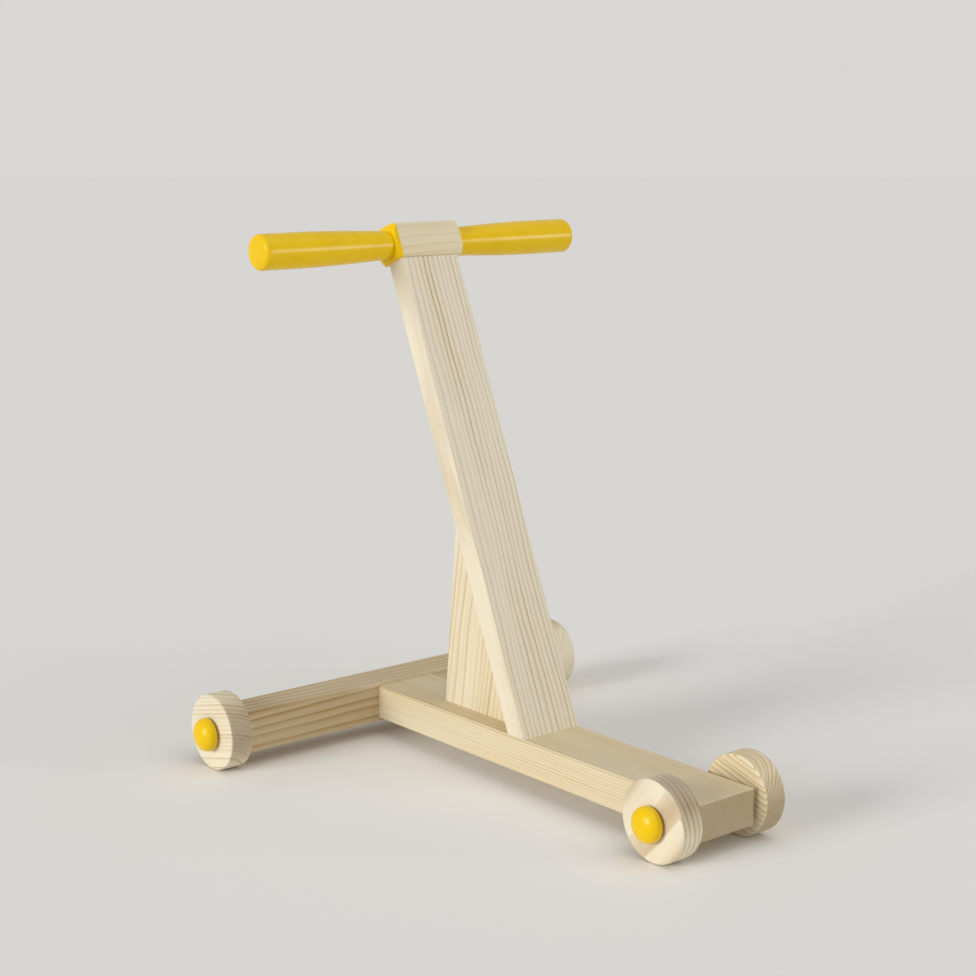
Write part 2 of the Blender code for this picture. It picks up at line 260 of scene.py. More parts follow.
# Planed pine under a thin clear satin coat. Rings are cylinders round the pith of the log that a piece was
# sawn from, so each face shows its own cut of them: straight lines, broad flames or end-grain arcs.
def growth(tree, log):
    """Nodes of pine sawn from a log, as sockets for colour, roughness and height."""
    finish = bpy.context.scene.walker_finishes
    coordinates = add(tree, "ShaderNodeTexCoord")
    grain = Vector(log.grain).normalized()
    along = grain.to_track_quat("Z", "Y").to_euler()
    axes = {"Location": log.pith, "Rotation": along, "Scale": (MM, MM, MM)}
    spot = {"Vector": coordinates.outputs["Object"]}
    local = add(tree, "ShaderNodeMapping", spot | axes, vector_type="TEXTURE")

    # The trunk wanders a few millimetres over the length of a hand.
    sway = streaks(tree, local, WANDER, {"W": log.seed, "Detail": 2.0, "Roughness": 0.45}, "4D")
    swing = {0: sway.outputs["Color"], 1: (log.sway, log.sway, 0.0), 2: local}
    bent = add(tree, "ShaderNodeVectorMath", swing, operation="MULTIPLY_ADD")
    across = add(tree, "ShaderNodeVectorMath", {0: bent, 1: (1, 1, 0)}, operation="MULTIPLY")
    radius = add(tree, "ShaderNodeVectorMath", {0: across}, operation="LENGTH")

    # Good and poor years change the ring width, and how dark its late wood is.
    years = add(tree, "ShaderNodeMath", {0: radius.outputs["Value"], 1: 1 / log.ring}, operation="MULTIPLY")
    season = add(tree, "ShaderNodeMath", {0: years, 1: SEASONS, 2: log.seed}, operation="MULTIPLY_ADD")
    seasons = {"W": season, "Scale": 1.0, "Detail": 1.0}
    uneven = add(tree, "ShaderNodeTexNoise", seasons, noise_dimensions="1D")
    count = add(tree, "ShaderNodeMath", {0: uneven, 1: UNEVEN, 2: years}, operation="MULTIPLY_ADD")
    share = add(tree, "ShaderNodeMath", {0: count}, operation="FRACT")
    number = add(tree, "ShaderNodeMath", {0: count}, operation="FLOOR")
    ripe = add(tree, "ShaderNodeMath", {0: share, 1: log.late}, operation="POWER")
    line = add(tree, "ShaderNodeValToRGB", {"Fac": ripe}, stops=RIPENING)
    year = add(tree, "ShaderNodeTexWhiteNoise", {"W": number}, noise_dimensions="1D")
    faint, strong = log.lines
    strength = add(tree, "ShaderNodeMapRange", {"Value": year, "To Min": faint, "To Max": strong})
    drawn = add(tree, "ShaderNodeMath", {0: line, 1: strength}, operation="MULTIPLY")

    # Along a board the lines come and go: warm and dark in one stretch, and washed out in the next.
    broad = streaks(tree, local, PATCH, {"W": log.seed, "Detail": 2.0}, "4D")
    fade = add(tree, "ShaderNodeMapRange", {"Value": broad, **USUAL, "To Min": 0.45, "To Max": 1.1})
    late = add(tree, "ShaderNodeMath", {0: drawn, 1: fade}, operation="MULTIPLY")

    # Fibres are drawn about 0.9 mm wide, coarser than real ones, so that they show in the render.
    fibre = streaks(tree, local, FIBRE, {"Detail": 3.0, "Roughness": 0.6})
    canal = streaks(tree, local, CANAL, {"Detail": 1.0})

    # The tones are laid over each other; fibre ends take in more light, and their tint is deepened with
    # painted shade.
    least, most = log.warm
    warmth = add(tree, "ShaderNodeMapRange", {"Value": broad, **USUAL, "To Min": least, "To Max": most})
    # Under the fibre tint lies the log's shade, a painted shade all over the piece.
    fibre_and_shade_range = {"From Min": 0.42, "From Max": 0.75, "To Min": log.shade, "To Max": log.shade + FIBRE_TINT}
    fibres_and_painted_shade = add(tree, "ShaderNodeMapRange", {"Value": fibre, **fibre_and_shade_range})
    flecks = {"From Min": 0.64, "From Max": 0.74, "To Max": 0.2}
    flecked = add(tree, "ShaderNodeMapRange", {"Value": canal, **flecks})
    covers = (warmth, late, fibres_and_painted_shade, flecked)
    tones = (finish.warm_wood, finish.late_wood, finish.late_wood, finish.resin)
    colour = opaque(finish.early_wood)
    for cover, tone in zip(covers, tones):
        mixed = add(tree, "ShaderNodeMix", {0: cover, 6: colour, 7: opaque(tone)}, data_type="RGBA")
        colour = mixed.outputs[2]
    normal = coordinates.outputs["Normal"]
    facing = add(tree, "ShaderNodeVectorMath", {0: normal, 1: grain}, operation="DOT_PRODUCT")
    toward = add(tree, "ShaderNodeMath", {0: facing.outputs["Value"]}, operation="ABSOLUTE")
    cut_ends = add(tree, "ShaderNodeMapRange", {"Value": toward, "From Min": 0.5, "From Max": 0.95})
    # Cut ends take the end-grain tint, which also carries painted shade.
    ends = {0: cut_ends, 6: colour, 7: opaque(finish.end_wood_and_shade)}
    colour = add(tree, "ShaderNodeMix", ends, data_type="RGBA", blend_type="MULTIPLY").outputs[2]

    # Hands and floors have rubbed the satin coat duller in patches a couple of centimetres across.
    rubbed = add(tree, "ShaderNodeTexNoise", spot | {"Scale": 1 / (22 * MM), "Detail": 4.0})
    sheen = add(tree, "ShaderNodeMapRange", {"Value": late, "To Min": 0.5, "To Max": 0.36})
    roughness = add(tree, "ShaderNodeMath", {0: rubbed, 1: 0.22, 2: sheen}, operation="MULTIPLY_ADD")
    height = add(tree, "ShaderNodeMath", {0: late, 1: 0.4, 2: fibre}, operation="MULTIPLY_ADD")
    return colour, roughness, height


def coated(tree, sockets, strength, depth, ior):
    """Shader of a coated surface from its colour, roughness and height."""
    colour, roughness, height = sockets
    relief = add(tree, "ShaderNodeBump", {"Height": height, "Strength": strength, "Distance": depth})
    close_material(tree, {"Base Color": colour, "Roughness": roughness, "Normal": relief, "IOR": ior})


def pine(name, log):
    """Pine with a clear satin coat, sawn from its own log."""
    material, tree = new_material(name)
    coated(tree, growth(tree, log), strength=0.4, depth=0.15 * MM, ior=1.5)
    return material


# Gloss enamel: a deep even yellow with a soft long highlight. Its orange peel is drawn about 6 mm
# across, coarser than a real one, so that it shows where the light glances off.
def coat(tree):
    """Nodes of the yellow enamel, as sockets for colour, roughness and height."""
    finish = bpy.context.scene.walker_finishes
    coordinates = add(tree, "ShaderNodeTexCoord").outputs["Object"]
    cloud = add(tree, "ShaderNodeTexNoise", {"Vector": coordinates, "Scale": 1 / (14 * MM), "Detail": 2.0})
    thin = add(tree, "ShaderNodeMapRange", {"Value": cloud, "From Min": 0.45, "From Max": 0.8})
    tones = {6: opaque(finish.enamel), 7: opaque(finish.enamel_thin)}
    colour = add(tree, "ShaderNodeMix", {0: thin, **tones}, data_type="RGBA").outputs[2]
    peel = add(tree, "ShaderNodeTexNoise", {"Vector": coordinates, "Scale": 1 / (6 * MM), "Detail": 1.0})
    roughness = add(tree, "ShaderNodeMapRange", {"Value": cloud, "To Min": 0.22, "To Max": 0.34})
    height = add(tree, "ShaderNodeMath", {0: peel, 1: 0.4}, operation="MULTIPLY")
    return colour, roughness, height


def yellow_enamel():
    """Gloss enamel of the axle pegs."""
    material, tree = new_material("Yellow gloss enamel")
    coated(tree, coat(tree), strength=0.25, depth=0.05 * MM, ior=1.32)
    return material


# Turned pine whose grips were dipped to a line at the block: bare wood between two straight paint edges.
def dipped_pine(log):
    """Handle material: pine on the block and enamel on the grips."""
    sizes = bpy.context.scene.walker_sizes
    material, tree = new_material("Pine handle with enamelled grips")
    wood, wood_rough, wood_height = growth(tree, log)
    paint, paint_rough, paint_height = coat(tree)
    coordinates = add(tree, "ShaderNodeTexCoord").outputs["Object"]
    creep = add(tree, "ShaderNodeTexNoise", {"Vector": coordinates, "Scale": 1 / (5 * MM), "Detail": 2.0})
    along = add(tree, "ShaderNodeSeparateXYZ", {0: coordinates})
    middle = (sizes.bare_right - sizes.bare_left) / 2
    reach = (sizes.bare_right + sizes.bare_left) / 2
    off = add(tree, "ShaderNodeMath", {0: along, 1: middle}, operation="SUBTRACT")
    away = add(tree, "ShaderNodeMath", {0: off}, operation="ABSOLUTE")
    wavering = add(tree, "ShaderNodeMath", {0: creep, 1: 0.8 * MM, 2: away}, operation="MULTIPLY_ADD")
    edge = {"From Min": reach + 0.3 * MM, "From Max": reach + 0.5 * MM}
    painted = add(tree, "ShaderNodeMapRange", {"Value": wavering, **edge})
    colour = add(tree, "ShaderNodeMix", {0: painted, 6: wood, 7: paint}, data_type="RGBA").outputs[2]
    roughness = add(tree, "ShaderNodeMix", {0: painted, 2: wood_rough, 3: paint_rough})
    height = add(tree, "ShaderNodeMix", {0: painted, 2: wood_height, 3: paint_height})
    coated(tree, (colour, roughness, height), strength=0.3, depth=0.08 * MM, ior=1.32)
    return material


def mottled(name, colour, dim, width, rough, inputs, patches=None):
    """Material whose colour goes over to a dimmer share of it in specks, which are rougher too."""
    material, tree = new_material(name)
    coordinates = add(tree, "ShaderNodeTexCoord").outputs["Object"]
    specks = add(tree, "ShaderNodeTexNoise", {"Vector": coordinates, "Scale": 1 / width, "Detail": 3.0})
    share = add(tree, "ShaderNodeMapRange", {"Value": specks, **(patches or {})})
    dark = tuple(dim * part for part in colour)
    mixed = add(tree, "ShaderNodeMix", {0: share, 6: opaque(colour), 7: opaque(dark)}, data_type="RGBA")
    roughness = add(tree, "ShaderNodeMapRange", {"Value": specks, "To Min": rough[0], "To Max": rough[1]})
    close_material(tree, {"Base Color": mixed.outputs[2], "Roughness": roughness, **inputs})
    return material


# Natural nylon, punched from sheet: milky, slightly cloudy and dull.
def nylon():
    """Nylon of the wheel washers."""
    colour = bpy.context.scene.walker_finishes.nylon
    return mottled("Natural nylon", colour, dim=0.86, width=3 * MM, rough=(0.4, 0.52), inputs={"IOR": 1.53})


# Zinc-plated steel, cold formed: bright grey with a fine mottled bloom.
def zinc_steel():
    """Plated steel of the brace screws."""
    colour = bpy.context.scene.walker_finishes.zinc
    metal = {"Metallic": 1.0}
    return mottled("Zinc plated steel", colour, dim=0.74, width=1.5 * MM, rough=(0.28, 0.45), inputs=metal)


# Beech rod: even pinkish brown with short dark rays about 2 mm long.
def beech():
    """Beech of the dowels."""
    colour = bpy.context.scene.walker_finishes.beech
    rays = {"From Min": 0.5, "From Max": 0.7, "To Max": 0.5}
    return mottled(
        "Beech dowel", colour, dim=0.6, width=2 * MM, rough=(0.55, 0.7), inputs={"IOR": 1.5}, patches=rays
    )


# Seamless studio floor: an even pale matt sheet.
def floor_sheet():
    """Matt pale sheet of the floor."""
    finish = bpy.context.scene.walker_finishes
    material, tree = new_material("Pale studio floor")
    close_material(tree, {"Base Color": opaque(finish.floor), "Roughness": 0.75, "Specular IOR Level": 0.0})
    return material


def new_piece(name, bm):
    """Object at the origin made from a bmesh, with its faces outwards."""
    bmesh.ops.recalc_face_normals(bm, faces=bm.faces)
    mesh = bpy.data.meshes.new(name)
    bm.to_mesh(mesh)
    bm.free()
    piece = bpy.data.objects.new(name, mesh)
    bpy.context.scene.collection.objects.link(piece)
    return piece


def flatten(piece):
    """Turn a piece and its modifiers into one plain mesh with its faces outwards."""
    graph = bpy.context.evaluated_depsgraph_get()
    made = bpy.data.meshes.new_from_object(piece.evaluated_get(graph))
    piece.modifiers.clear()
    piece.data = made
    bm = bmesh.new()
    bm.from_mesh(made)
    bmesh.ops.remove_doubles(bm, verts=bm.verts, dist=HAIR)
    bmesh.ops.recalc_face_normals(bm, faces=bm.faces)
    bm.to_mesh(made)
    bm.free()
    if not made.polygons:
        raise RuntimeError(f"{piece.name} came out empty")


def smooth(piece, sharp_from):
    """Shade a turned piece smooth, up to the edges sharper than an angle in degrees."""
    piece.data.shade_smooth()
    piece.data.set_sharp_from_angle(angle=math.radians(sharp_from))


def seat(piece, body, slot, *nodes):
    """Let a finished piece ride on its body in place of CAD nodes."""
    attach(piece, body)
    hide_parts(*nodes)


def post_frame():
    """Frame of the leaning post: its foot in front, Z up the post and Y into its thickness."""
    sizes = bpy.context.scene.walker_sizes
    foot = Vector((0, -sizes.post_foot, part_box("handle_post")[0].z))
    return Matrix.Translation(foot) @ Matrix.Rotation(-sizes.lean, 4, "X")


def sawn(name, outline, left, right, easing, glued=(), matrix=None):
    """Planed piece with a side outline of (y, z) corners between two x places, eased but for glued ends.

    A glued end is named by the corner of the outline that it starts from.
    """
    bm = bmesh.new()
    side = bm.faces.new([bm.verts.new((left, y, z)) for y, z in outline])
    grown = bmesh.ops.extrude_face_region(bm, geom=[side])
    moved = [item for item in grown["geom"] if isinstance(item, bmesh.types.BMVert)]
    bmesh.ops.translate(bm, verts=moved, vec=(right - left, 0, 0))
    bmesh.ops.recalc_face_normals(bm, faces=bm.faces)
    crisp = set()
    for first in glued:
        ends = [Vector(outline[first]), Vector(outline[(first + 1) % len(outline)])]
        for edge in bm.edges:
            spots = [Vector((vert.co.y, vert.co.z)) for vert in edge.verts]
            if all(min((spot - end).length for end in ends) < HAIR for spot in spots):
                crisp.add(edge)
    free = [edge for edge in bm.edges if edge not in crisp]
    bmesh.ops.bevel(
        bm, geom=free, offset=easing, segments=4, profile=0.5, affect="EDGES", clamp_overlap=True
    )
    if matrix:
        bmesh.ops.transform(bm, matrix=matrix, verts=bm.verts)
    return new_piece(name, bm)


def box_outline(low, high):
    """Side outline of a square-cut bar from its box."""
    return [(low.y, low.z), (high.y, low.z), (high.y, high.z), (low.y, high.z)]


def join_rings(bm, rings):
    """Wall of faces between each ring of vertices and the next."""
    for ring, following in zip(rings, rings[1:]):
        for index, vert in enumerate(ring):
            after = (index + 1) % len(ring)
            bm.faces.new((vert, ring[after], following[after], following[index]))


# Sunk hole of a brace screw
SINK_ROOM = 0.3 * MM  # room round the screw
SINK_START = 4 * MM  # from below the beam's face
SINK_RIM = 0.6 * MM  # straight rim round the head
SINK_SLACK = 1 * MM  # room past the cone of the head
SINK_DEPTH = 20 * MM
HEAD_SIDES = 48  # of the hole and of the screw's head


class WALKER_OT_planed_timber(bpy.types.Operator):
    """Build the crossbar, beam, post and brace from planed pine"""

    bl_idname = "walker.planed_timber"
    bl_label = "Planed timber"

    def execute(self, context):
        sizes = context.scene.walker_sizes
        self.crossbar(sizes)
        self.beam(sizes)
        self.post(sizes)
        self.brace(sizes)
        return {"FINISHED"}

    def finish(self, piece, timber, log, node):
        """Give a planed piece its pine, and let it stand for its CAD node."""
        piece.data.materials.append(pine(f"Planed pine {timber}", log))
        seat(piece, "frame", "pine", node)

    def crossbar(self, sizes):
        """Square bar that carries the rear wheels."""
        low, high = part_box("rear_crossbar")
        piece = sawn("crossbar_planed", box_outline(low, high), low.x, high.x, sizes.edge_round)
        self.finish(piece, "crossbar", LOGS["crossbar"], "rear_crossbar")

    def beam(self, sizes):
        """Flat beam, glued to the crossbar, with the brace screws sunk into its underside."""
        low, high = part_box("center_beam")
        high.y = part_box("rear_crossbar")[0].y
        piece = sawn("beam_planed", box_outline(low, high), low.x, high.x, sizes.edge_round, (1,))
        for node in ("brace_screw_front", "brace_screw_rear"):
            self.countersink(piece, node, sizes)
        self.finish(piece, "beam", LOGS["beam"], "center_beam")

    def post(self, sizes):
        """Leaning post, mitred onto the beam."""
        turn = post_frame()
        low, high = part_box("handle_post")
        thick = sizes.post_thickness
        mitre = thick * math.tan(sizes.lean)
        foot = (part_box("center_beam")[1].z - low.z) / math.cos(sizes.lean)
        top = sizes.post_length + sizes.glue_gap
        outline = [(0, foot), (thick, foot + mitre), (thick, top), (0, top)]
        piece = sawn("post_planed", outline, low.x, high.x, sizes.edge_round, (0, 2), turn)
        self.finish(piece, "post", LOGS["post"].placed(turn), "handle_post")

    def brace(self, sizes):
        """Wedge behind the post, glued to it and to the beam."""
        low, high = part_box("post_brace")
        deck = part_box("center_beam")[1].z
        slope = math.tan(sizes.lean)
        front = low.y - sizes.glue_gap / math.cos(sizes.lean)
        rise = high.z - low.z
        outline = [
            (front - (low.z - deck) * slope, deck),
            (high.y, deck),
            (low.y + rise * slope + sizes.brace_tip, high.z),
            (front + rise * slope, high.z),
        ]
        piece = sawn("brace_planed", outline, low.x, high.x, sizes.edge_round, (0, 3))
        self.finish(piece, "brace", LOGS["brace"], "post_brace")

    def countersink(self, beam, node, sizes):
        """Sink a hole for a screw head into the underside of the beam."""
        low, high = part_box(node)
        middle = (low + high) / 2
        head = (high.x - low.x) / 2 + SINK_ROOM
        shank = sizes.screw_shank / 2 + SINK_ROOM
        cone = head - shank + SINK_SLACK
        turns = [math.tau * step / HEAD_SIDES for step in range(HEAD_SIDES)]
        circle = [Vector((math.cos(turn), math.sin(turn), 0)) for turn in turns]
        bm = bmesh.new()
        rings = []
        for up, radius in ((-SINK_START, head), (SINK_RIM, head), (cone, shank), (SINK_DEPTH, shank)):
            centre = Vector((middle.x, middle.y, low.z + up))
            rings.append([bm.verts.new(centre + radius * spot) for spot in circle])
        join_rings(bm, rings)
        bm.faces.new(rings[0])
        bm.faces.new(rings[-1])
        cutter = new_piece(f"{node}_sink", bm)
        cut = beam.modifiers.new("countersink", "BOOLEAN")
        cut.operation = "DIFFERENCE"
        cut.solver = "EXACT"
        cut.object = cutter
        flatten(beam)
        bpy.data.objects.remove(cutter, do_unlink=True)


# How finely the handle is drawn
FACE_SIDES = 32  # of each face of its block
SQUARENESS = 14  # how tight the corners of its block are
BLOCK_STEPS = 10
SHOULDER_STEPS = 20
GRIP_STEPS = 40
END_STEPS = 12


class WALKER_OT_turned_handle(bpy.types.Operator):
    """Turn the handle with its square block and swelling grips"""

    bl_idname = "walker.turned_handle"
    bl_label = "Turned handle"

    def execute(self, context):
        sizes = context.scene.walker_sizes
        low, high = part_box("handle_bar")
        half = (high.x - low.x) / 2
        axis_z = sizes.post_length + sizes.glue_gap + sizes.block_height / 2
        place = post_frame() @ Matrix.Translation((sizes.handle_offset, sizes.handle_setback, axis_z))
        tilt = math.atan2(sizes.block_height, sizes.block_depth)
        marks = [tilt, math.pi - tilt, math.pi + tilt, math.tau - tilt, math.tau + tilt]
        angles = []
        for first, last in zip(marks, marks[1:]):
            angles += [first + (last - first) * step / FACE_SIDES for step in range(FACE_SIDES)]
        stations = [(x, self.section(sizes, x, angles)) for x in self.places(sizes, half)]
        inner = self.grip(sizes, half - sizes.grip_round) - sizes.grip_round
        for step in range(1, END_STEPS + 1):
            angle = math.pi / 2 * step / END_STEPS
            x = half - sizes.grip_round + sizes.grip_round * math.sin(angle)
            stations.append((x, [inner + sizes.grip_round * math.cos(angle)] * len(angles)))
        stations = [(-x, radii) for x, radii in reversed(stations)] + stations[1:]

        bm = bmesh.new()
        loops = []
        for x, radii in stations:
            spots = [(x, r * math.cos(a), r * math.sin(a)) for a, r in zip(angles, radii)]
            loops.append([bm.verts.new(spot) for spot in spots])
        join_rings(bm, loops)
        for loop, x in ((loops[0], -half), (loops[-1], half)):
            hub = bm.verts.new((x, 0, 0))
            for pair in zip(loop, loop[1:] + loop[:1]):
                bm.faces.new((*pair, hub))
        bmesh.ops.transform(bm, matrix=place, verts=bm.verts)
        handle = new_piece("handle_turned", bm)
        smooth(handle, sharp_from=32)
        handle.data.materials.append(dipped_pine(LOGS["handle"].placed(place)))
        seat(handle, "frame", "yellow_enamel", "handle_bar")
        return {"FINISHED"}

    def places(self, sizes, half):
        """Distances from the middle of the handle at which its section is drawn."""
        block = [sizes.block_half * step / BLOCK_STEPS for step in range(BLOCK_STEPS + 1)]
        turns = [math.pi / 2 * step / SHOULDER_STEPS for step in range(1, SHOULDER_STEPS + 1)]
        rounded = [sizes.block_half + sizes.shoulder * math.sin(turn) for turn in turns]
        start = sizes.block_half + sizes.shoulder
        run = half - sizes.grip_round - start
        return block + rounded + [start + run * step / GRIP_STEPS for step in range(1, GRIP_STEPS + 1)]

    def grip(self, sizes, x):
        """Radius of a grip at a distance from the middle of the handle."""
        run = min((x - sizes.block_half - sizes.shoulder) / sizes.grip_swell, 1)
        return sizes.grip_root / 2 + (sizes.grip_full - sizes.grip_root) / 2 * math.sin(run * math.pi / 2)

    def section(self, sizes, x, angles):
        """Radii round the handle's axis: a square block, cut back by a turned shoulder, then the grip."""
        if x > sizes.block_half + sizes.shoulder:
            return [self.grip(sizes, x)] * len(angles)
        depth = sizes.block_depth / 2
        height = sizes.block_height / 2
        run = max((x - sizes.block_half) / sizes.shoulder, 0)
        root = sizes.grip_root / 2
        turned = root + (math.hypot(depth, height) - root) * math.sqrt(max(1 - run * run, 0))
        radii = []
        for angle in angles:
            flat = abs(math.cos(angle) / depth) ** SQUARENESS + abs(math.sin(angle) / height) ** SQUARENESS
            radii.append(min(flat ** (-1 / SQUARENESS), turned))
        return radii


def new_tree(name, kinds):
    """Geometry Nodes tree with named inputs, as the tree and its input sockets."""
    tree = bpy.data.node_groups.new(name, "GeometryNodeTree")
    for label, kind in kinds.items():
        tree.interface.new_socket(label, in_out="INPUT", socket_type=f"NodeSocket{kind}")
    tree.interface.new_socket("Geometry", in_out="OUTPUT", socket_type="NodeSocketGeometry")
    return tree, add(tree, "NodeGroupInput").outputs


def close_tree(tree, shape, finish):
    """End a Geometry Nodes tree: its instances made real, and their material set."""
    whole = add(tree, "GeometryNodeRealizeInstances", {0: shape})
    finished = add(tree, "GeometryNodeSetMaterial", {0: whole, "Material": finish})
    add(tree, "NodeGroupOutput", {0: finished})


WHEEL_SIDES = 144
WASHER_SIDES = 96
ROUNDING_STEPS = 14


def ring_tree():
    """Geometry Nodes tree of a ring turned about the X axis, with rounded rims and an eased bore."""
    lengths = ("Diameter", "Bore", "Width", "Rim round", "Bore ease", "Spacing")
    kinds = {**dict.fromkeys(lengths, "Float"), "Sides": "Int", "Centre": "Vector", "Finish": "Material"}
    tree, given = new_tree("Turned ring", kinds)
    across = add(tree, "ShaderNodeMath", {0: given["Diameter"], 1: given["Bore"]}, operation="ADD")
    middle = add(tree, "ShaderNodeMath", {0: across, 1: 4.0}, operation="DIVIDE")
    spare = add(tree, "ShaderNodeMath", {0: given["Diameter"], 1: given["Bore"]}, operation="SUBTRACT")
    wall = add(tree, "ShaderNodeMath", {0: spare, 1: 2.0}, operation="DIVIDE")
    path = add(tree, "GeometryNodeCurvePrimitiveCircle", {"Resolution": given["Sides"], "Radius": middle})
    box = {"Width": wall, "Height": given["Width"]}
    section = add(tree, "GeometryNodeCurvePrimitiveQuadrilateral", box)
    outward = add(tree, "ShaderNodeSeparateXYZ", {0: add(tree, "GeometryNodeInputPosition")})
    outer = {"data_type": "FLOAT", "operation": "GREATER_THAN"}
    rim = add(tree, "FunctionNodeCompare", {0: outward, 1: 0.0}, **outer)
    easing = {"Switch": rim, "False": given["Bore ease"], "True": given["Rim round"]}
    fillet = add(tree, "GeometryNodeSwitch", easing, input_type="FLOAT")
    corners = {"Curve": section, "Count": ROUNDING_STEPS, "Radius": fillet, "Limit Radius": True}
    rounded = add(tree, "GeometryNodeFilletCurve", corners, mode="POLY")
    spacing = {"Curve": rounded, "Length": given["Spacing"]}
    even = add(tree, "GeometryNodeResampleCurve", spacing, mode="LENGTH")
    swept = add(tree, "GeometryNodeCurveToMesh", {"Curve": path, "Profile Curve": even})
    shaded = add(tree, "GeometryNodeSetShadeSmooth", {0: swept})
    seating = {"Rotation": (0, math.pi / 2, 0), "Translation": given["Centre"]}
    placed = add(tree, "GeometryNodeTransform", {0: shaded, **seating})
    close_tree(tree, placed, given["Finish"])
    return tree


def from_tree(name, tree, values):
    """Plain mesh piece that a Geometry Nodes tree makes from its named inputs."""
    piece = new_piece(name, bmesh.new())
    modifier = piece.modifiers.new(tree.name, "NODES")
    modifier.node_group = tree
    for item in tree.interface.items_tree:
        if item.in_out == "INPUT":
            modifier[item.identifier] = values[item.name]
    flatten(piece)
    return piece


class WALKER_OT_wheels(bpy.types.Operator):
    """Turn the four pine wheels and their nylon washers"""

    bl_idname = "walker.wheels"
    bl_label = "Wheels and washers"

    def execute(self, context):
        sizes = context.scene.walker_sizes
        tree = ring_tree()
        wheel_form = {
            "Bore": sizes.wheel_bore,
            "Rim round": sizes.wheel_round,
            "Bore ease": 0.6 * MM,
            "Spacing": 0.6 * MM,
            "Sides": WHEEL_SIDES,
        }
        washer_form = {
            "Bore": sizes.washer_bore,
            "Rim round": 0.4 * MM,
            "Bore ease": 0.2 * MM,
            "Spacing": 0.4 * MM,
            "Sides": WASHER_SIDES,
            "Finish": nylon(),
        }
        for corner in CORNERS:
            low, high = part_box(f"wheel_{corner}")
            log = LOGS[f"wheel_{corner}"].placed(Matrix.Translation((low + high) / 2))
            wheel_form["Finish"] = pine(f"Turned pine wheel {corner}", log)
            wheel = self.ring(f"wheel_{corner}", "turned", tree, wheel_form)
            seat(wheel, f"{corner}_wheel", "pine", f"wheel_{corner}")
            washer = self.ring(f"washer_{corner}", "punched", tree, washer_form)
            seat(washer, "frame", "nylon", f"washer_{corner}")
        return {"FINISHED"}

    def ring(self, node, made, tree, form):
        """Ring of a form in the box of its CAD node."""
        low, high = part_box(node)
        box = {"Diameter": high.z - low.z, "Width": high.x - low.x, "Centre": (low + high) / 2}
        return from_tree(f"{node}_{made}", tree, form | box)


# How finely a peg is drawn
PEG_SIDES = 96
RIM_STEPS = 6
DOME_STEPS = 24


class WALKER_OT_axle_pegs(bpy.types.Operator):
    """Turn the four axle pegs with their domed heads"""

    bl_idname = "walker.axle_pegs"
    bl_label = "Axle pegs"

    def execute(self, context):
        sizes = context.scene.walker_sizes
        paint = yellow_enamel()
        for corner in CORNERS:
            low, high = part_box(f"peg_{corner}")
            side = -1 if corner.endswith("left") else 1
            root, tip = sorted((abs(low.x), abs(high.x)))
            centre = Vector((0, (low.y + high.y) / 2, (low.z + high.z) / 2))
            outline = self.outline(sizes, root, tip, (high.z - low.z) / 2)
            bm = bmesh.new()
            spots = [bm.verts.new((side * x, 0, radius)) for x, radius in outline]
            edges = [bm.edges.new(pair) for pair in zip(spots, spots[1:])]
            bmesh.ops.spin(
                bm, geom=spots + edges, axis=(1, 0, 0), angle=math.tau, steps=PEG_SIDES, use_merge=True
            )
            bmesh.ops.remove_doubles(bm, verts=bm.verts, dist=HAIR)
            bmesh.ops.translate(bm, verts=bm.verts, vec=centre)
            peg = new_piece(f"peg_{corner}_turned", bm)
            smooth(peg, sharp_from=40)
            peg.data.materials.append(paint)
            seat(peg, "frame", "yellow_enamel", f"peg_{corner}")
        return {"FINISHED"}

    def outline(self, sizes, root, tip, head):
        """Half outline of a peg from its buried end to the crown of its head, as (x, radius) points."""
        shank = sizes.peg_shank / 2
        seat_x = tip - sizes.peg_head
        soft = 0.5 * MM
        lead = 1 * MM
        points = [(root, 0), (root, shank - lead), (root + lead, shank)]
        points += [(seat_x, shank), (seat_x, head - soft)]
        for step in range(1, RIM_STEPS + 1):
            angle = math.pi / 2 * step / RIM_STEPS
            points.append((seat_x + soft - soft * math.cos(angle), head - soft + soft * math.sin(angle)))
        crown = seat_x + sizes.peg_rim
        for step in range(DOME_STEPS + 1):
            angle = math.pi / 2 * step / DOME_STEPS
            points.append((crown + (tip - crown) * math.sin(angle), head * math.cos(angle)))
        points[-1] = (tip, 0)
        return points


# Proportions of a wood screw, and how finely it is drawn
CORE_SHARE = 0.72  # core under the thread, of the shank
POINT_SHARE = 2.0  # length of the point, of the shank's radius
PLAIN_SHARE = 0.4  # plain neck, of the whole length
NECK_START = 0.8  # start of the neck, of the head's height
GROOVE_SHARE = 3.0  # length of the slot's cutter, of the head's radius
SHANK_SIDES = 32
TURN_STEPS = 24
RIDGE_SIDES = 3


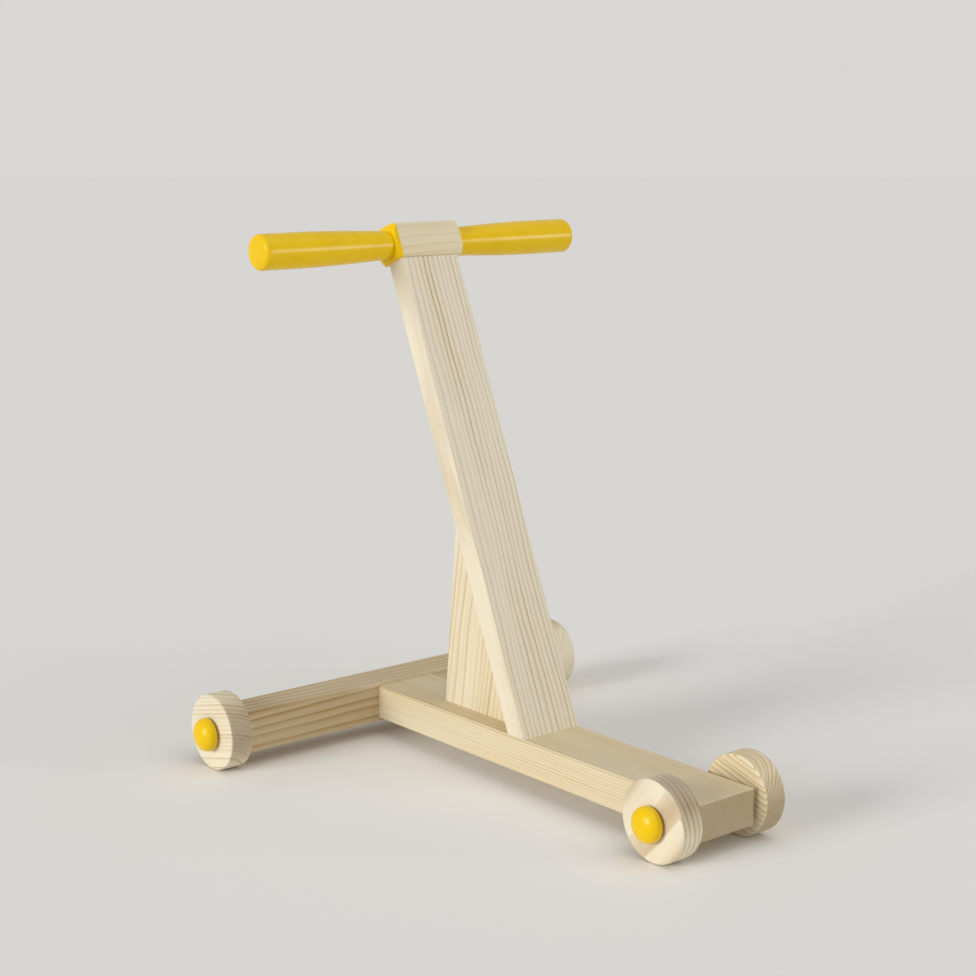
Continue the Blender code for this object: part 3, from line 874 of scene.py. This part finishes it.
def screw_tree():
    """Geometry Nodes tree of slotted wood screws standing in a row along Y, heads down."""
    lengths = ("Head radius", "Shank radius", "Length", "Slot", "Pitch")
    kinds = {"First": "Vector", "Step": "Vector", "Count": "Int", **dict.fromkeys(lengths, "Float")}
    tree, given = new_tree("Wood screws", {**kinds, "Finish": "Material"})
    head_radius, shank_radius = given["Head radius"], given["Shank radius"]
    rise = add(tree, "ShaderNodeMath", {0: head_radius, 1: shank_radius}, operation="SUBTRACT")
    taper = {"Radius Bottom": head_radius, "Radius Top": shank_radius, "Depth": rise}
    cone = add(tree, "GeometryNodeMeshCone", {"Vertices": HEAD_SIDES, **taper})

    # Half of the slot's cutter hangs below the head.
    slot_depth = add(tree, "ShaderNodeMath", {0: given["Slot"], 1: given["Slot"]}, operation="ADD")
    slot_length = add(tree, "ShaderNodeMath", {0: head_radius, 1: GROOVE_SHARE}, operation="MULTIPLY")
    slot_size = add(tree, "ShaderNodeCombineXYZ", {0: given["Slot"], 1: slot_length, 2: slot_depth})
    groove = add(tree, "GeometryNodeMeshCube", {"Size": slot_size})
    head = add(tree, "GeometryNodeMeshBoolean", {"Mesh 1": cone, "Mesh 2": groove}, solver="EXACT")

    point = add(tree, "ShaderNodeMath", {0: shank_radius, 1: POINT_SHARE}, operation="MULTIPLY")
    bare = add(tree, "ShaderNodeMath", {0: given["Length"], 1: point}, operation="SUBTRACT")
    core_radius = add(tree, "ShaderNodeMath", {0: shank_radius, 1: CORE_SHARE}, operation="MULTIPLY")
    plain = add(tree, "ShaderNodeMath", {0: given["Length"], 1: PLAIN_SHARE}, operation="MULTIPLY")
    threaded = add(tree, "ShaderNodeMath", {0: bare, 1: plain}, operation="SUBTRACT")
    turns = add(tree, "ShaderNodeMath", {0: threaded, 1: given["Pitch"]}, operation="DIVIDE")
    coil = {"Rotations": turns, "Start Radius": core_radius, "End Radius": core_radius, "Height": threaded}
    helix = add(tree, "GeometryNodeCurveSpiral", {"Resolution": TURN_STEPS, **coil})
    ridge_size = add(tree, "ShaderNodeMath", {0: shank_radius, 1: core_radius}, operation="SUBTRACT")
    ridge = add(tree, "GeometryNodeCurvePrimitiveCircle", {"Resolution": RIDGE_SIDES, "Radius": ridge_size})
    sweep = {"Curve": helix, "Profile Curve": ridge, "Fill Caps": True}
    thread = add(tree, "GeometryNodeCurveToMesh", sweep)

    # The cone of the tip starts a little way down inside the core, and the neck inside the head.
    tip_base = add(tree, "ShaderNodeMath", {0: bare, 1: given["Slot"]}, operation="SUBTRACT")
    tip_depth = add(tree, "ShaderNodeMath", {0: point, 1: given["Slot"]}, operation="ADD")
    neck_base = add(tree, "ShaderNodeMath", {0: rise, 1: NECK_START}, operation="MULTIPLY")
    rods = []
    for bottom, top, depth in (
        (shank_radius, shank_radius, plain),
        (core_radius, core_radius, threaded),
        (core_radius, 0.0, tip_depth),
    ):
        rod = {"Vertices": SHANK_SIDES, "Radius Bottom": bottom, "Radius Top": top, "Depth": depth}
        rods.append(add(tree, "GeometryNodeMeshCone", rod))
    neck, core, tip = rods
    parts = [head]
    for part, base in ((neck, neck_base), (core, plain), (thread, plain), (tip, tip_base)):
        place = add(tree, "ShaderNodeCombineXYZ", {2: base})
        parts.append(add(tree, "GeometryNodeTransform", {0: part, "Translation": place}))
    screw = add(tree, "GeometryNodeJoinGeometry")
    for part in parts:
        tree.links.new(part.outputs[0], screw.inputs[0])
    spots = {"Count": given["Count"], "Start Location": given["First"], "Offset": given["Step"]}
    row = add(tree, "GeometryNodeMeshLine", spots)
    stood = add(tree, "GeometryNodeInstanceOnPoints", {"Points": row, "Instance": screw})
    close_tree(tree, stood, given["Finish"])
    return tree


class WALKER_OT_brace_screws(bpy.types.Operator):
    """Drive the two screws that hold the brace from under the beam"""

    bl_idname = "walker.brace_screws"
    bl_label = "Brace screws"

    def execute(self, context):
        sizes = context.scene.walker_sizes
        low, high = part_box("brace_screw_front")
        values = {
            "First": Vector(((low.x + high.x) / 2, (low.y + high.y) / 2, low.z)),
            "Step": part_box("brace_screw_rear")[0] - low,
            "Count": 2,
            "Head radius": (high.x - low.x) / 2,
            "Shank radius": sizes.screw_shank / 2,
            "Length": high.z - low.z,
            "Slot": sizes.screw_slot,
            "Pitch": sizes.screw_pitch,
            "Finish": zinc_steel(),
        }
        screws = from_tree("brace_screws_slotted", screw_tree(), values)
        smooth(screws, sharp_from=35)
        seat(screws, "frame", "zinc_steel", "brace_screw_front", "brace_screw_rear")
        return {"FINISHED"}


class WALKER_OT_dowels(bpy.types.Operator):
    """Give the dowels inside the joints their beech"""

    bl_idname = "walker.dowels"
    bl_label = "Dowels"

    def execute(self, context):
        wood = beech()
        dowels = [node for name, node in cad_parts.items() if "_dowel_" in name]
        if not dowels:
            raise RuntimeError("the frame has no dowels")
        for node in dowels:
            node.data.materials.clear()
            node.data.materials.append(wood)
        return {"FINISHED"}


FLOOR_RADIUS = 14.0
FLOOR_SIDES = 96
FLOOR_DROP = 0.2 * MM  # keeps the floor clear of the wheels
# Name, direction from the object, spread in degrees and strength
SOFTBOXES = (
    ("left softbox", (-0.95, 0.05, 0.25), 25, 1.9),
    ("top softbox", (0.10, -0.40, 0.91), 60, 0.75),
    ("front softbox", (0.63, -0.77, 0.06), 14, 0.75),
)
ROOM_LIGHT = 0.34
BACKDROP_LIGHT = 0.735
# Camera, fitted to the edges of the walker
EYE_PLACE = (-1.0344, -1.1761, 0.5578)
EYE_TILT = math.radians(78.881)
EYE_HEADING = math.radians(-39.888)
EYE_LENS = 71.98


class WALKER_OT_stage(bpy.types.Operator):
    """Set up the pale floor, the soft studio light and the camera"""

    bl_idname = "walker.stage"
    bl_label = "Stage"

    def execute(self, context):
        scene = context.scene
        scene.view_settings.view_transform = "Standard"
        bm = bmesh.new()
        bmesh.ops.create_circle(bm, cap_ends=True, radius=FLOOR_RADIUS, segments=FLOOR_SIDES)
        bmesh.ops.translate(bm, verts=bm.verts, vec=(0, 0, -FLOOR_DROP))
        floor = new_piece("studio_floor", bm)
        floor.data.materials.append(floor_sheet())
        for softbox in SOFTBOXES:
            self.softbox(*softbox)
        self.world(scene)
        camera = bpy.data.cameras.new("photograph's view")
        camera.sensor_width = 36.0
        camera.lens = EYE_LENS
        eye = bpy.data.objects.new("photograph's view", camera)
        eye.location = EYE_PLACE
        eye.rotation_euler = (EYE_TILT, 0, EYE_HEADING)
        scene.collection.objects.link(eye)
        scene.camera = eye
        return {"FINISHED"}

    def softbox(self, name, toward, spread, strength):
        """Far soft lamp in a direction from the object, as wide as a spread in degrees."""
        lamp = bpy.data.lights.new(name, "SUN")
        lamp.angle = math.radians(spread)
        lamp.energy = strength
        holder = bpy.data.objects.new(name, lamp)
        holder.location = toward
        holder.rotation_euler = Vector(toward).to_track_quat("Z", "Y").to_euler()
        bpy.context.scene.collection.objects.link(holder)

    def world(self, scene):
        """Even pale surroundings: soft light on the object and a pale backdrop for the camera."""
        world = bpy.data.worlds.new("Studio")
        world.use_nodes = True
        scene.world = world
        tree = world.node_tree
        tree.nodes.clear()
        ray = add(tree, "ShaderNodeLightPath").outputs
        seen = ray["Is Camera Ray"]
        for other in ("Is Glossy Ray", "Is Transmission Ray"):
            seen = add(tree, "ShaderNodeMath", {0: seen, 1: ray[other]}, operation="MAXIMUM")
        light = add(tree, "ShaderNodeBackground", {"Color": (1.0, 1.0, 1.0, 1.0), "Strength": ROOM_LIGHT})
        pale = opaque(scene.walker_finishes.floor)
        backdrop = add(tree, "ShaderNodeBackground", {"Color": pale, "Strength": BACKDROP_LIGHT})
        mixed = add(tree, "ShaderNodeMixShader", {0: seen, 1: light, 2: backdrop})
        add(tree, "ShaderNodeOutputWorld", {"Surface": mixed})


class WALKER_PT_pieces(bpy.types.Panel):
    """Pieces, sizes and finishes of the walker"""

    bl_idname = "WALKER_PT_pieces"
    bl_label = "Push walker"
    bl_space_type = "VIEW_3D"
    bl_region_type = "UI"
    bl_category = "Walker"

    def draw(self, context):
        for operator in OPERATORS:
            self.layout.operator(operator.bl_idname)
        for group in (context.scene.walker_sizes, context.scene.walker_finishes):
            column = self.layout.column()
            for name in group.__annotations__:
                column.prop(group, name)


OPERATORS = (
    WALKER_OT_planed_timber,
    WALKER_OT_turned_handle,
    WALKER_OT_wheels,
    WALKER_OT_axle_pegs,
    WALKER_OT_brace_screws,
    WALKER_OT_dowels,
    WALKER_OT_stage,
)
CLASSES = (WalkerSizes, WalkerFinishes, *OPERATORS, WALKER_PT_pieces)


def register():
    """Add the walker's classes and settings to Blender."""
    for item in CLASSES:
        bpy.utils.register_class(item)
    bpy.types.Scene.walker_sizes = bpy.props.PointerProperty(type=WalkerSizes)
    bpy.types.Scene.walker_finishes = bpy.props.PointerProperty(type=WalkerFinishes)


def unregister():
    """Take the walker's classes and settings out of Blender."""
    del bpy.types.Scene.walker_finishes
    del bpy.types.Scene.walker_sizes
    for item in reversed(CLASSES):
        bpy.utils.unregister_class(item)


def main():
    """Build every piece and the stage."""
    register()
    bpy.ops.walker.planed_timber()
    bpy.ops.walker.turned_handle()
    bpy.ops.walker.wheels()
    bpy.ops.walker.axle_pegs()
    bpy.ops.walker.brace_screws()
    bpy.ops.walker.dowels()
    bpy.ops.walker.stage()


if __name__ == "__main__":
    main()
